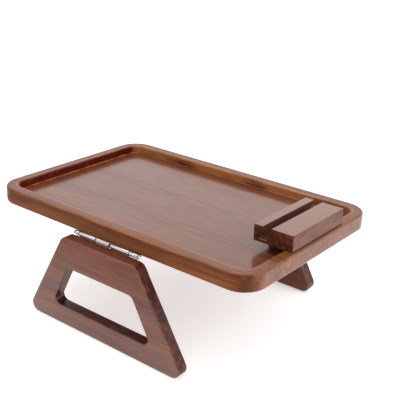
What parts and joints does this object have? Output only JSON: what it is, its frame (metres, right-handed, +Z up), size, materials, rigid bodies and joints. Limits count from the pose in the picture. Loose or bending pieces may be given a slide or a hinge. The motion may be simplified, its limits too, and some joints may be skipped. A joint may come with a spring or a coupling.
{
  "type": "tray table",
  "caption": "Wooden tray table with a raised rim, two spring-hinged folding legs with hand holes that grip a sofa arm or stand, and a lift-off tablet holder.",
  "frame": {"origin": "on the surface the feet stand on, under the middle of the tray", "axes": "+X along the tray towards the tablet holder, +Y towards the far long side, +Z up"},
  "size_m": [0.4, 0.2958, 0.167],
  "materials": {
    "tray_wood": "satin lacquer over dark brown stain",
    "leg_wood": "satin lacquer over dark brown stain",
    "holder_wood": "satin lacquer over dark brown stain",
    "hinge_steel": "nickel plated",
    "spring_steel": "plated wire",
    "screw_steel": "nickel plated"
  },
  "bodies": {
    "tray": {"tray_plank_near": "tray_wood", "tray_plank_mid_near": "tray_wood", "tray_plank_mid_far": "tray_wood", "tray_plank_far": "tray_wood", "near_hinge_tray_leaf": "hinge_steel", "near_hinge_pin": "hinge_steel", "near_hinge_spring": "spring_steel", "near_hinge_tray_screws": "screw_steel", "far_hinge_tray_leaf": "hinge_steel", "far_hinge_pin": "hinge_steel", "far_hinge_spring": "spring_steel", "far_hinge_tray_screws": "screw_steel"},
    "near_leg": {"near_leg_top_stave": "leg_wood", "near_leg_left_stave": "leg_wood", "near_leg_right_stave": "leg_wood", "near_leg_bottom_stave": "leg_wood", "near_hinge_leg_leaf": "hinge_steel", "near_hinge_leg_screws": "screw_steel"},
    "far_leg": {"far_leg_top_stave": "leg_wood", "far_leg_left_stave": "leg_wood", "far_leg_right_stave": "leg_wood", "far_leg_bottom_stave": "leg_wood", "far_hinge_leg_leaf": "hinge_steel", "far_hinge_leg_screws": "screw_steel"},
    "holder": {"holder_block": "holder_wood", "holder_key": "holder_wood", "holder_key_screws": "screw_steel"}
  },
  "joints": [
    {"name": "near_leg_fold", "type": "hinge", "parent": "tray", "child": "near_leg", "pos_m": [0, -0.1319, 0.1251], "axis": [1, 0, 0], "range_deg": [-1.5, 88.5], "stiffness_Nm_per_rad": 0.05, "springref_deg": 88.5},
    {"name": "far_leg_fold", "type": "hinge", "parent": "tray", "child": "far_leg", "pos_m": [0, 0.1319, 0.1251], "axis": [-1, 0, 0], "range_deg": [-1.5, 88.5], "stiffness_Nm_per_rad": 0.05, "springref_deg": 88.5},
    {"name": "holder_lift", "type": "slide", "parent": "tray", "child": "holder", "axis": [0, 0, 1], "range_m": [0, 0.05]}
  ]
}
